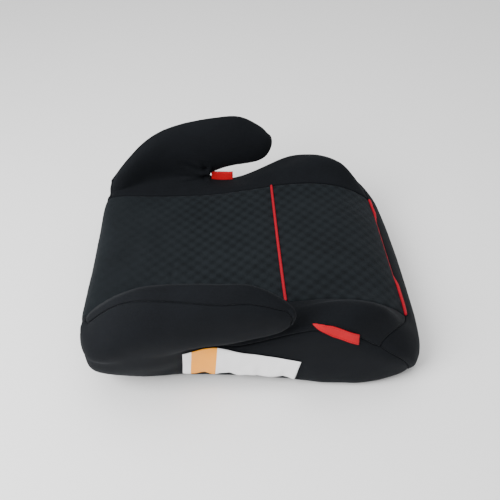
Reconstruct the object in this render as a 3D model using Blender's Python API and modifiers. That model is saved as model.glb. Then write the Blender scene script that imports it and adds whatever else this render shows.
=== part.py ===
# Backless booster seat: a ribbed plastic base with bolted armrest cores,
# foam pads, a sewn cover in eight panels, red piping and small red tags.
# Metres, +Z up, front of the seat toward -Y, child's left toward +X.
import bpy
import bmesh
from mathutils import Matrix, Vector
from mathutils.bvhtree import BVHTree

MM = 0.001
COVER_THICKNESS = 0.0025
LAYER_GAP = 0.0003
CORE_DEPTH = 0.0070
PANEL_GAP = 0.0003
FOAM_GAP = 0.0005
SEAM_SINK = 0.0008
RIM_HEIGHT = 0.0108
PLINTH_INSET = 0.0045
PLINTH_TOP = 0.0160
SHELL_WALL = 0.0030
RIB_PITCH_X = 0.0350
RIB_THICKNESS = 0.0030
RIB_EDGES_Y = (-0.192, -0.128, -0.064, 0.0, 0.064, 0.128, 0.184)
CENTRE_RIB_HALF = 0.0060
POCKET_LIMIT_X = 0.1310
CORNER_POCKET_X = 0.1100
CORNER_POCKET_FRONT = -0.1780
CORNER_POCKET_REAR = 0.0700
LOWEST_CEILING = 0.0300
BELOW_FLOOR = -0.0100
PIPING_RADIUS = 0.0019
PIPING_LIFT = 0.0016
CORD_RADIUS = 0.0012
SCREW_X = 0.1270
SCREW_YS = (0.098, 0.124)
SCREW_HEAD_RADIUS = 0.0040
SCREW_HEAD_HEIGHT = 0.0028
SCREW_HEAD_TOP = 0.0400
SCREW_SHANK_RADIUS = 0.0020
SCREW_TIP = 0.0660
SCREW_CHAMFER = 0.0020
WELL_ROOM = 0.0008
LEG_FLOOR = 0.0520
TAG_THICKNESS = 0.0014
LABEL_THICKNESS = 0.0007
PLATE_LIFT = 0.0006
GUIDE_X = 0.1580
GUIDE_FRONT_Y = 0.0120
GUIDE_LENGTH = 0.0250
GUIDE_HEIGHTS = (0.0006, 0.0060, 0.0115)
HEM_INSET = 0.0022
BINDING_HEIGHT = 0.0042
ELASTIC_HEIGHT = 0.0090
CENTRING_SHIFT_Y = 0.0034

# Corners of the two pieces sewn to the right side, as (y, z): top rear, top
# front, low front and low rear.
TAG_CORNERS = ((-0.0687, 0.1165), (-0.1225, 0.1045),
               (-0.1215, 0.0912), (-0.0700, 0.1140))
LABEL_CORNERS = ((0.0800, 0.0700), (-0.0583, 0.0550),
                 (-0.0525, 0.0192), (0.0850, 0.0262))

# Boxes, low and high corner, that part the left armrest core from the base:
# the leg that stands in the base, its shoulder, the rear and the horn.
ARMREST_BOXES = {"leg": ((0.118, 0.086, LEG_FLOOR), (0.150, 0.136, 0.260)),
                 "shoulder": ((0.118, 0.086, 0.082), (0.166, 0.136, 0.270)),
                 "rear": ((0.124, 0.064, 0.100), (0.230, 0.240, 0.250)),
                 "horn": ((0.130, -0.052, 0.113), (0.220, 0.070, 0.240))}

# The sharp inner corner at the root of the left belt slot, and the way that
# the layers under it are offset, which clears the layers round it.
SLOT_CORNER = (0.175, 0.058, 0.096)
SLOT_CORNER_OUTWARD = (0.62, -0.78, -0.06)

# Guide rows of the upholstered surface for the left half, in millimetres.
# Every row has eleven stations from the front edge to the rear edge.
CENTRE = [(0, -196, 73), (0, -168, 91), (0, -126, 99), (0, -83, 100),
          (0, -43, 98), (0, -9, 94), (0, 21, 90), (0, 51, 87),
          (0, 96, 86), (0, 147, 87), (0, 199, 86)]
SEAT_MID = [(64, -196, 72), (64, -168, 91), (64, -126, 100), (64, -83, 102),
            (64, -43, 100), (64, -9, 95), (64, 21, 91), (64, 51, 88),
            (64, 96, 87), (64, 147, 88), (64, 199, 88)]
SEAT_SEAM = [(121, -196, 70), (121, -168, 90), (121, -126, 103),
             (121, -83, 106), (121, -43, 103), (121, -9, 98),
             (121, 21, 94), (121, 51, 91), (121, 96, 89),
             (121, 147, 90), (121, 200, 91)]
CREST_IN = [(151, -181, 86), (144, -160, 111), (144, -120, 126),
            (143, -82, 121), (142, -43, 109), (143, -9, 98),
            (146, 23, 91), (151, 58, 96), (150, 97, 102),
            (143, 149, 101), (130, 201, 89)]
CREST_OUT = [(168, -163, 89), (163, -150, 114), (165, -115, 127),
             (163, -79, 120), (159, -41, 108), (158, -7, 96),
             (160, 23, 89), (175, 58, 96), (190, 97, 90),
             (189, 146, 82), (177, 191, 75)]
SIDE_SEAM = [(178, -149, 79), (180, -134, 91), (181, -109, 106),
             (179, -73, 113), (175, -40, 101), (172, -7, 87),
             (171, 23, 79), (170, 54, 77), (182, 97, 66),
             (185, 148, 61), (175, 192, 58)]
SIDE_MID = [(176, -185, 49), (182, -146, 51), (181, -110, 52),
            (177, -74, 52), (172, -39, 51), (168, -6, 49),
            (166, 23, 46), (164, 54, 44), (169, 97, 41),
            (173, 147, 38), (166, 187, 36)]
HEM_OUT = [(161, -198, 11), (174, -156, 9), (175, -112, 8), (170, -75, 8),
           (164, -39, 8), (159, -6, 8), (157, 23, 8), (155, 54, 8),
           (153, 98, 8), (153, 145, 9), (142, 178, 10)]
HEM_IN = [(149, -188, 3), (162, -152, 3), (160, -110, 3), (155, -74, 3),
          (150, -39, 3), (145, -6, 3), (142, 23, 3), (140, 54, 3),
          (138, 97, 3), (136, 142, 3), (129, 168, 3)]
# Armrest rows start at the horn tip, station 4, and end at the rear edge.
REST_IN_LOW = [(171, -42, 143), (162, -7, 150), (157, 24, 147),
               (153, 56, 140), (150, 97, 132), (144, 149, 120),
               (134, 200, 95)]
REST_IN_TOP = [(175, -39, 157), (171, -6, 177), (167, 26, 179),
               (162, 58, 176), (154, 98, 167), (143, 149, 144),
               (140, 196, 104)]
REST_CREST = [(183, -37, 162), (182, -5, 185), (179, 28, 188),
              (174, 61, 186), (166, 101, 177), (156, 148, 153),
              (145, 192, 110)]
REST_SEAM = [(189, -38, 155), (191, -4, 170), (191, 28, 170),
             (188, 60, 172), (181, 100, 170), (167, 147, 152),
             (153, 189, 112)]
REST_OUT = [(189, -44, 145), (196, -4, 152), (198, 26, 150),
            (199, 57, 146), (199, 98, 138), (193, 146, 126),
            (178, 188, 99)]
REST_OUT_LOW = [(187, -42, 129), (193, -2, 122), (196, 26, 117),
                (196, 56, 112), (197, 97, 106), (193, 145, 98),
                (184, 190, 82)]
HORN_UNDER_IN = [(169, -33, 118), (162, -3, 115), (159, 28, 110)]
HORN_UNDER_OUT = [(180, -33, 116), (183, -1, 111), (184, 28, 107)]
# Columns down the rear wall and down the front wall, top to hem.
REAR_WALL = [[(0, 211, 62), (0, 214, 38), (0, 207, 9), (0, 193, 3)],
             [(64, 211, 62), (64, 213, 38), (64, 206, 9), (64, 192, 3)],
             [(120, 208, 62), (118, 209, 37), (114, 203, 9), (109, 189, 3)],
             [(149, 200, 61), (145, 201, 37), (135, 195, 9), (125, 181, 3)]]
FRONT_WALL = [[(0, -219, 45), (0, -217, 10), (0, -203, 3)],
              [(64, -218, 45), (64, -216, 10), (64, -202, 3)],
              [(120, -215, 46), (118, -214, 10), (114, -201, 3)],
              [(149, -210, 47), (143, -212, 10), (134, -199, 3)],
              [(166, -200, 48), (154, -206, 12), (143, -194, 3)]]

PANELS = ["cover_seat_rear", "cover_seat_front", "cover_front",
          "cover_back", "cover_bolster_left", "cover_bolster_right",
          "cover_side_left", "cover_side_right"]
SEAT_REAR, SEAT_FRONT, FRONT, BACK = 0, 1, 2, 3
BOLSTER_LEFT, BOLSTER_RIGHT, SIDE_LEFT, SIDE_RIGHT = 4, 5, 6, 7

COLOURS = {
    "centre_fabric": (0.030, 0.035, 0.041, 1.0),
    "trim_fabric": (0.017, 0.018, 0.023, 1.0),
    "red_piping": (0.620, 0.022, 0.030, 1.0),
    "red_tag": (0.640, 0.020, 0.028, 1.0),
    "label_white": (0.820, 0.820, 0.800, 1.0),
    "base_plastic": (0.022, 0.022, 0.024, 1.0),
    "foam_grey": (0.330, 0.330, 0.340, 1.0),
    "screw_steel": (0.550, 0.550, 0.560, 1.0),
    "hem_black": (0.012, 0.012, 0.014, 1.0),
}


def clear_scene():
    for item in list(bpy.data.objects):
        bpy.data.objects.remove(item, do_unlink=True)


def make_collections():
    scene = bpy.context.scene
    parts = bpy.data.collections.new("booster_seat")
    cutters = bpy.data.collections.new("cutters")
    scene.collection.children.link(parts)
    scene.collection.children.link(cutters)
    return parts, cutters


def make_material(name):
    material = bpy.data.materials.new(name)
    material.use_nodes = True
    shader = material.node_tree.nodes["Principled BSDF"]
    shader.inputs["Base Color"].default_value = COLOURS[name]
    shader.inputs["Roughness"].default_value = 0.80
    shader.inputs["Metallic"].default_value = 0.0
    if name == "screw_steel":
        shader.inputs["Metallic"].default_value = 1.0
        shader.inputs["Roughness"].default_value = 0.35
    if name == "base_plastic":
        shader.inputs["Roughness"].default_value = 0.50
    material.diffuse_color = COLOURS[name]
    return material


def add_object(name, mesh, collection, material=None):
    item = bpy.data.objects.new(name, mesh)
    collection.objects.link(item)
    if material is not None:
        mesh.materials.clear()
        mesh.materials.append(material)
    return item


def cage_points():
    points = {}
    rows = {"A": CENTRE, "B": SEAT_MID, "C": SEAT_SEAM, "D": CREST_IN,
            "K": CREST_OUT, "E": SIDE_SEAM, "G": SIDE_MID,
            "H": HEM_OUT, "I": HEM_IN}
    for name, row in rows.items():
        for station, point in enumerate(row):
            points[(name, station)] = point
    rests = {"M": REST_IN_LOW, "N": REST_IN_TOP, "O": REST_CREST,
             "P": REST_SEAM, "Q": REST_OUT, "R": REST_OUT_LOW,
             "U": HORN_UNDER_IN, "V": HORN_UNDER_OUT}
    for name, row in rests.items():
        for station, point in enumerate(row):
            points[(name, station + 4)] = point
    for column, wall in zip("ABCD", REAR_WALL):
        for level, point in enumerate(wall):
            points[("back" + column, level)] = point
    for column, wall in zip("ABCDK", FRONT_WALL):
        for level, point in enumerate(wall):
            points[("front" + column, level)] = point
    return points


def strip(faces, panel, first, second, start, stop):
    for j in range(start, stop):
        ring = ((first, j), (second, j), (second, j + 1), (first, j + 1))
        faces.append((panel, ring))


def cage_faces():
    faces = []
    for first, second in (("A", "B"), ("B", "C")):
        strip(faces, SEAT_FRONT, first, second, 0, 4)
        strip(faces, SEAT_REAR, first, second, 4, 10)
    strip(faces, BOLSTER_LEFT, "C", "D", 0, 10)
    strip(faces, BOLSTER_LEFT, "D", "K", 0, 7)
    strip(faces, BOLSTER_LEFT, "K", "E", 0, 7)
    strip(faces, SIDE_LEFT, "K", "E", 7, 10)
    for first, second in (("E", "G"), ("G", "H"), ("H", "I")):
        strip(faces, SIDE_LEFT, first, second, 0, 10)
    strip(faces, BOLSTER_LEFT, "D", "M", 7, 10)
    for first, second in (("M", "N"), ("N", "O"), ("O", "P")):
        strip(faces, BOLSTER_LEFT, first, second, 4, 10)
    for first, second in (("P", "Q"), ("Q", "R")):
        strip(faces, SIDE_LEFT, first, second, 4, 10)
    strip(faces, SIDE_LEFT, "R", "K", 7, 10)
    strip(faces, BOLSTER_LEFT, "V", "U", 4, 6)
    strip(faces, BOLSTER_LEFT, "U", "M", 4, 6)
    strip(faces, SIDE_LEFT, "R", "V", 4, 6)
    root = (("V", 6), ("U", 6), ("D", 7), ("K", 7))
    faces.append((BOLSTER_LEFT, root))
    faces.append((BOLSTER_LEFT, (("U", 6), ("M", 6), ("M", 7), ("D", 7))))
    faces.append((SIDE_LEFT, (("R", 6), ("V", 6), ("K", 7), ("R", 7))))
    tip = (("U", 4), ("V", 4), ("R", 4), ("M", 4))
    faces.append((BOLSTER_LEFT, tip))
    faces.append((BOLSTER_LEFT, (("M", 4), ("R", 4), ("Q", 4), ("N", 4))))
    faces.append((BOLSTER_LEFT, (("N", 4), ("Q", 4), ("P", 4), ("O", 4))))
    end = (("D", 10), ("M", 10), ("R", 10), ("K", 10))
    faces.append((SIDE_LEFT, end))
    faces.append((SIDE_LEFT, (("M", 10), ("N", 10), ("Q", 10), ("R", 10))))
    faces.append((SIDE_LEFT, (("N", 10), ("O", 10), ("P", 10), ("Q", 10))))
    top = [("A", 10), ("B", 10), ("C", 10), ("D", 10), ("K", 10)]
    wall(faces, rear_panel, top, "ABCD", "back", (("E", 10), ("G", 10), ("H", 10), ("I", 10)))
    top = [("A", 0), ("B", 0), ("C", 0), ("D", 0), ("K", 0), ("E", 0)]
    wall(faces, front_panel, top, "ABCDK", "front", (("G", 0), ("H", 0), ("I", 0)))
    return faces


def rear_panel(level, column):
    if column > 1:
        return SIDE_LEFT
    return SEAT_REAR if level == 0 else BACK


def front_panel(level, column):
    return FRONT


def wall(faces, panel_at, top, columns, side, edge):
    rows = [top]
    for level, corner in enumerate(edge):
        row = [(side + column, level) for column in columns]
        row.append(corner)
        rows.append(row)
    for level in range(len(edge)):
        upper, lower = rows[level], rows[level + 1]
        for i in range(len(columns)):
            ring = (upper[i], upper[i + 1], lower[i + 1], lower[i])
            faces.append((panel_at(level, i), ring))


def mirrored_panel(panel):
    swap = {BOLSTER_LEFT: BOLSTER_RIGHT, SIDE_LEFT: SIDE_RIGHT}
    return swap.get(panel, panel)


def build_cage():
    points = cage_points()
    faces = cage_faces()
    cage = bmesh.new()
    left = {}
    right = {}
    for key, point in points.items():
        place = Vector(point) * MM
        left[key] = cage.verts.new(place)
        if point[0] == 0:
            right[key] = left[key]
        else:
            right[key] = cage.verts.new((-place.x, place.y, place.z))
    for panel, ring in faces:
        face = cage.faces.new([left[key] for key in ring])
        face.material_index = panel
        face = cage.faces.new([right[key] for key in reversed(ring)])
        face.material_index = mirrored_panel(panel)
    bmesh.ops.recalc_face_normals(cage, faces=cage.faces)
    mesh = bpy.data.meshes.new("cage")
    cage.to_mesh(mesh)
    cage.free()
    return mesh


def evaluated_copy(item):
    bpy.context.view_layer.update()
    graph = bpy.context.evaluated_depsgraph_get()
    return bpy.data.meshes.new_from_object(item.evaluated_get(graph))


def smooth_skin(cutters):
    mesh = build_cage()
    item = add_object("skin_cage", mesh, cutters)
    modifier = item.modifiers.new("smooth", "SUBSURF")
    modifier.levels = 1
    modifier.render_levels = 1
    targets = [vert.co.copy() for vert in mesh.vertices]
    for _ in range(5):
        result = evaluated_copy(item)
        for index, target in enumerate(targets):
            error = target - result.vertices[index].co
            mesh.vertices[index].co += error * 0.8
        bpy.data.meshes.remove(result)
    skin = evaluated_copy(item)
    bpy.data.objects.remove(item, do_unlink=True)
    return skin


class Skin:
    def __init__(self, mesh):
        work = bmesh.new()
        work.from_mesh(mesh)
        bmesh.ops.recalc_face_normals(work, faces=work.faces)
        work.normal_update()
        normals = [vert.normal.copy() for vert in work.verts]
        for side in (1, -1):
            corner = Vector(SLOT_CORNER)
            corner.x *= side
            nearest = min(work.verts, key=lambda vert: (vert.co - corner).length)
            outward = Vector(SLOT_CORNER_OUTWARD)
            outward.x *= side
            normals[nearest.index] = outward.normalized()
        bmesh.ops.triangulate(work, faces=work.faces, quad_method="SHORT_EDGE")
        work.verts.ensure_lookup_table()
        self.points = [vert.co.copy() for vert in work.verts]
        self.normals = normals
        self.faces = [[vert.index for vert in face.verts] for face in work.faces]
        self.panels = [face.material_index for face in work.faces]
        self.tree = BVHTree.FromBMesh(work)
        work.free()

    def select(self, wanted):
        pairs = zip(self.faces, self.panels)
        return [ring for ring, panel in pairs if panel in wanted]

    def place(self, index, depth):
        return self.points[index] - self.normals[index] * depth


def border_edges(faces):
    count = {}
    for ring in faces:
        for a, b in zip(ring, ring[1:] + ring[:1]):
            key = (min(a, b), max(a, b))
            count.setdefault(key, []).append((a, b))
    return [pairs[0] for pairs in count.values() if len(pairs) == 1]


def border_shift(skin, faces, distance):
    shift = {}
    near = {}
    for ring in faces:
        centre = sum((skin.points[i] for i in ring), Vector()) / len(ring)
        for index in ring:
            near.setdefault(index, []).append(centre)
    along = {}
    for a, b in border_edges(faces):
        edge = (skin.points[b] - skin.points[a]).normalized()
        along.setdefault(a, []).append(edge)
        along.setdefault(b, []).append(edge)
    for index, edges in along.items():
        centres = near[index]
        middle = sum(centres, Vector()) / len(centres)
        inward = middle - skin.points[index]
        tangent = sum(edges, Vector()).normalized()
        normal = skin.normals[index]
        if len(edges) == 2 and edges[0].dot(edges[1]) > 0.5:
            inward -= tangent * inward.dot(tangent)
        inward -= normal * inward.dot(normal)
        shift[index] = inward.normalized() * distance
    return shift


def layer_mesh(name, skin, wanted, top, bottom, sink, gap):
    faces = skin.select(wanted)
    shift = border_shift(skin, faces, gap)
    used = sorted({index for ring in faces for index in ring})
    work = bmesh.new()
    upper = {}
    lower = {}
    for index in used:
        move = shift.get(index, Vector())
        extra = sink if index in shift else 0.0
        upper[index] = work.verts.new(skin.place(index, top + extra) + move)
        lower[index] = work.verts.new(skin.place(index, bottom) + move)
    for ring in faces:
        work.faces.new([upper[i] for i in ring])
        work.faces.new([lower[i] for i in reversed(ring)])
    for a, b in border_edges(faces):
        work.faces.new([upper[b], upper[a], lower[a], lower[b]])
    return finish_mesh(name, work)


def finish_mesh(name, work, smooth=True):
    bmesh.ops.recalc_face_normals(work, faces=work.faces)
    for face in work.faces:
        face.smooth = smooth
    mesh = bpy.data.meshes.new(name)
    work.to_mesh(mesh)
    work.free()
    return mesh


def hem_loop(skin):
    links = {}
    for a, b in border_edges(skin.faces):
        links[a] = b
    start = min(links)
    loop = [start]
    while links[loop[-1]] != start:
        loop.append(links[loop[-1]])
    points = [skin.points[index].copy() for index in loop]
    turn = 0.0
    for a, b in zip(points, points[1:] + points[:1]):
        turn += a.x * b.y - b.x * a.y
    if turn < 0.0:
        loop.reverse()
    return loop


def inset_loop(skin, loop, distance, height):
    points = [skin.points[index] for index in loop]
    result = []
    for i, point in enumerate(points):
        after = points[(i + 1) % len(points)]
        before = points[i - 1]
        along = (after - before).normalized()
        inward = Vector((-along.y, along.x, 0.0))
        place = point + inward * distance
        result.append(Vector((place.x, place.y, height)))
    return result


def core_mesh(skin, loop):
    work = bmesh.new()
    verts = []
    edge = set(loop)
    for index in range(len(skin.points)):
        place = skin.place(index, CORE_DEPTH)
        if index in edge:
            place.z = RIM_HEIGHT
        verts.append(work.verts.new(place))
    for ring in skin.faces:
        work.faces.new([verts[i] for i in ring])
    work.faces.new([verts[i] for i in reversed(loop)])
    return finish_mesh("core", work)


def prism_mesh(name, outline, bottom, top):
    work = bmesh.new()
    low = [work.verts.new((p.x, p.y, bottom)) for p in outline]
    high = [work.verts.new((p.x, p.y, top)) for p in outline]
    work.faces.new(list(reversed(low)))
    work.faces.new(high)
    for i in range(len(outline)):
        j = (i + 1) % len(outline)
        work.faces.new((low[i], low[j], high[j], high[i]))
    return finish_mesh(name, work, smooth=False)


def box_mesh(name, lows, highs):
    work = bmesh.new()
    bmesh.ops.create_cube(work, size=1.0)
    for vert in work.verts:
        for axis in range(3):
            middle = (lows[axis] + highs[axis]) / 2.0
            span = highs[axis] - lows[axis]
            vert.co[axis] = middle + vert.co[axis] * span
    return finish_mesh(name, work, smooth=False)


def cylinder_mesh(name, x, y, low, high, radius, sides):
    work = bmesh.new()
    bmesh.ops.create_cone(work, cap_ends=True, segments=sides,
                          radius1=radius, radius2=radius, depth=high - low)
    bmesh.ops.translate(work, verts=work.verts, vec=(x, y, (low + high) / 2.0))
    return finish_mesh(name, work, smooth=False)


def add_cutter(cutters, mesh):
    item = add_object(mesh.name, mesh, cutters)
    item.hide_render = True
    item.display_type = "WIRE"
    return item


def apply_boolean(target, cutter, operation):
    modifier = target.modifiers.new("cut", "BOOLEAN")
    modifier.operation = operation
    modifier.solver = "EXACT"
    modifier.object = cutter
    mesh = evaluated_copy(target)
    target.modifiers.clear()
    old = target.data
    target.data = mesh
    bpy.data.meshes.remove(old)
    bpy.data.objects.remove(cutter, do_unlink=True)


def side_box(cutters, name, side, lows, highs, grow):
    left = side * lows[0] - side * grow
    right = side * highs[0] + side * grow
    low = (min(left, right), lows[1] - grow, lows[2] - grow)
    high = (max(left, right), highs[1] + grow, highs[2])
    return add_cutter(cutters, box_mesh(name, low, high))


def armrest_region(cutters, side, grow):
    region = None
    for name, (lows, highs) in ARMREST_BOXES.items():
        box = side_box(cutters, name, side, lows, highs, grow)
        if region is None:
            region = box
        else:
            apply_boolean(region, box, "UNION")
    return region


def cut_screw_holes(cutters, target, side):
    for y in SCREW_YS:
        radius = SCREW_SHANK_RADIUS + LAYER_GAP
        tip = SCREW_TIP + 0.0010
        mesh = cylinder_mesh("hole", side * SCREW_X, y, LOWEST_CEILING, tip, radius, 16)
        apply_boolean(target, add_cutter(cutters, mesh), "DIFFERENCE")


def cut_head_wells(cutters, target, side):
    for y in SCREW_YS:
        radius = SCREW_HEAD_RADIUS + WELL_ROOM
        mesh = cylinder_mesh("well", side * SCREW_X, y, BELOW_FLOOR, SCREW_HEAD_TOP, radius, 20)
        apply_boolean(target, add_cutter(cutters, mesh), "DIFFERENCE")


def armrest_core(name, skin, loop, side, parts, cutters, material):
    item = add_object(name, core_mesh(skin, loop), parts, material)
    apply_boolean(item, armrest_region(cutters, side, 0.0), "INTERSECT")
    cut_screw_holes(cutters, item, side)
    item.data.name = name
    return item


def pocket_ceiling(tree, lows, highs):
    heights = []
    for x in (lows[0], (lows[0] + highs[0]) / 2.0, highs[0]):
        for y in (lows[1], (lows[1] + highs[1]) / 2.0, highs[1]):
            hit = tree.ray_cast(Vector((x, y, 0.020)), Vector((0, 0, 1)))
            if hit[0] is None:
                return None
            heights.append(hit[0].z)
    return min(heights) - SHELL_WALL


def pocket_boxes():
    boxes = []
    half = RIB_THICKNESS / 2.0
    for column in range(-4, 4):
        low_x = column * RIB_PITCH_X + half
        high_x = (column + 1) * RIB_PITCH_X - half
        if column == 0:
            low_x = CENTRE_RIB_HALF
        if column == -1:
            high_x = -CENTRE_RIB_HALF
        low_x = max(low_x, -POCKET_LIMIT_X)
        high_x = min(high_x, POCKET_LIMIT_X)
        for low_y, high_y in zip(RIB_EDGES_Y, RIB_EDGES_Y[1:]):
            lows = (low_x, low_y + half)
            highs = (high_x, high_y - half)
            corner = max(abs(low_x), abs(high_x)) > CORNER_POCKET_X
            if corner and high_y > CORNER_POCKET_REAR:
                continue
            if corner and low_y < CORNER_POCKET_FRONT:
                lows = (low_x, CORNER_POCKET_FRONT)
            boxes.append((lows, highs))
    return boxes


def cut_pockets(cutters, shell, tree):
    cutter = None
    for lows, highs in pocket_boxes():
        ceiling = pocket_ceiling(tree, lows, highs)
        if ceiling is None or ceiling < LOWEST_CEILING:
            continue
        low = (lows[0], lows[1], BELOW_FLOOR)
        high = (highs[0], highs[1], ceiling)
        mesh = box_mesh("pocket", low, high)
        if cutter is None:
            cutter = bmesh.new()
        cutter.from_mesh(mesh)
        bpy.data.meshes.remove(mesh)
    pockets = finish_mesh("pockets", cutter, smooth=False)
    apply_boolean(shell, add_cutter(cutters, pockets), "DIFFERENCE")


def base_shell(skin, loop, parts, cutters, material):
    mesh = core_mesh(skin, loop)
    work = bmesh.new()
    work.from_mesh(mesh)
    tree = BVHTree.FromBMesh(work)
    work.free()
    item = add_object("base_shell", mesh, parts, material)
    outline = inset_loop(skin, loop, PLINTH_INSET, 0.0)
    plinth = prism_mesh("plinth", outline, 0.0, PLINTH_TOP)
    apply_boolean(item, add_cutter(cutters, plinth), "UNION")
    for side in (1, -1):
        region = armrest_region(cutters, side, LAYER_GAP)
        apply_boolean(item, region, "DIFFERENCE")
        cut_screw_holes(cutters, item, side)
        cut_head_wells(cutters, item, side)
    cut_pockets(cutters, item, tree)
    item.data.name = "base_shell"
    return item


def screw(name, side, y, parts, material):
    x = side * SCREW_X
    work = bmesh.new()
    under_head = SCREW_HEAD_TOP - LAYER_GAP
    rings = [(SCREW_HEAD_RADIUS * 0.8, under_head - SCREW_HEAD_HEIGHT),
             (SCREW_HEAD_RADIUS, SCREW_HEAD_TOP - SCREW_CHAMFER),
             (SCREW_HEAD_RADIUS, under_head),
             (SCREW_SHANK_RADIUS, under_head),
             (SCREW_SHANK_RADIUS, SCREW_TIP - SCREW_CHAMFER),
             (SCREW_SHANK_RADIUS * 0.3, SCREW_TIP)]
    stack_rings(work, x, y, rings, 16)
    add_object(name, finish_mesh(name, work), parts, material)


def stack_rings(work, x, y, rings, sides):
    previous = None
    for radius, height in rings:
        start = len(work.verts)
        bmesh.ops.create_circle(work, segments=sides, radius=radius)
        work.verts.ensure_lookup_table()
        ring = [work.verts[start + i] for i in range(sides)]
        for vert in ring:
            vert.co += Vector((x, y, height))
        if previous is None:
            work.faces.new(ring)
        else:
            for i in range(sides):
                j = (i + 1) % sides
                work.faces.new((previous[i], previous[j], ring[j], ring[i]))
        previous = ring
    work.faces.new(list(reversed(previous)))


def tube_mesh(name, points, radius, sides, closed):
    curve = bpy.data.curves.new(name, "CURVE")
    curve.dimensions = "3D"
    curve.bevel_depth = radius
    curve.bevel_resolution = sides
    curve.use_fill_caps = not closed
    line = curve.splines.new("POLY")
    line.points.add(len(points) - 1)
    for spot, point in zip(line.points, points):
        spot.co = (point.x, point.y, point.z, 1.0)
    line.use_cyclic_u = closed
    item = bpy.data.objects.new(name, curve)
    bpy.context.scene.collection.objects.link(item)
    mesh = evaluated_copy(item)
    bpy.data.objects.remove(item, do_unlink=True)
    bpy.data.curves.remove(curve)
    work = bmesh.new()
    work.from_mesh(mesh)
    bmesh.ops.remove_doubles(work, verts=work.verts, dist=0.00001)
    return finish_mesh(name, work)


def seam_points(skin, first, second):
    faces_one = skin.select([first])
    faces_two = skin.select([second])
    one = {index for ring in faces_one for index in ring}
    two = {index for ring in faces_two for index in ring}
    shared = sorted(one & two, key=lambda index: skin.points[index].x)
    return [skin.place(index, -PIPING_LIFT) for index in shared]


def surface_point(skin, x, y, z, direction, lift):
    hit = skin.tree.ray_cast(Vector((x, y, z)), direction)
    return hit[0] + hit[1] * lift


def plate_mesh(name, rows, thickness, normal):
    work = bmesh.new()
    inner = [[work.verts.new(p) for p in row] for row in rows]
    outer = [[work.verts.new(p + normal * thickness) for p in row] for row in rows]
    count = len(rows)
    width = len(rows[0])
    for i in range(count - 1):
        for j in range(width - 1):
            a, b = inner[i][j], inner[i][j + 1]
            c, d = inner[i + 1][j + 1], inner[i + 1][j]
            work.faces.new((a, b, c, d))
            a, b = outer[i][j], outer[i][j + 1]
            c, d = outer[i + 1][j + 1], outer[i + 1][j]
            work.faces.new((d, c, b, a))
    for i in range(count - 1):
        for j in (0, width - 1):
            work.faces.new((inner[i][j], inner[i + 1][j], outer[i + 1][j], outer[i][j]))
    for j in range(width - 1):
        for i in (0, count - 1):
            work.faces.new((inner[i][j], inner[i][j + 1], outer[i][j + 1], outer[i][j]))
    return finish_mesh(name, work)


def side_plate(name, skin, corners, steps, thickness, parts, material):
    top_rear, top_front, low_front, low_rear = corners
    rows = []
    for i in range(steps[0] + 1):
        u = i / steps[0]
        upper = Vector(top_rear).lerp(Vector(top_front), u)
        lower = Vector(low_rear).lerp(Vector(low_front), u)
        row = []
        for j in range(steps[1] + 1):
            spot = upper.lerp(lower, j / steps[1])
            toward = Vector((1, 0, 0))
            row.append(surface_point(skin, -0.30, spot.x, spot.y, toward, PLATE_LIFT))
        rows.append(row)
    mesh = plate_mesh(name, rows, thickness, Vector((-1, 0, 0)))
    add_object(name, mesh, parts, material)


def belt_guide(name, skin, side, parts, material):
    rows = []
    for i in range(5):
        y = GUIDE_FRONT_Y + GUIDE_LENGTH * i / 4
        drop = surface_point(skin, side * GUIDE_X, y, 0.106, Vector((0, 0, -1)), 0.0)
        row = []
        for height in GUIDE_HEIGHTS:
            row.append(Vector((side * GUIDE_X, y, drop.z + height)))
        rows.append(row)
    mesh = plate_mesh(name, rows, TAG_THICKNESS, Vector((side, 0, 0)))
    add_object(name, mesh, parts, material)


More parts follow.
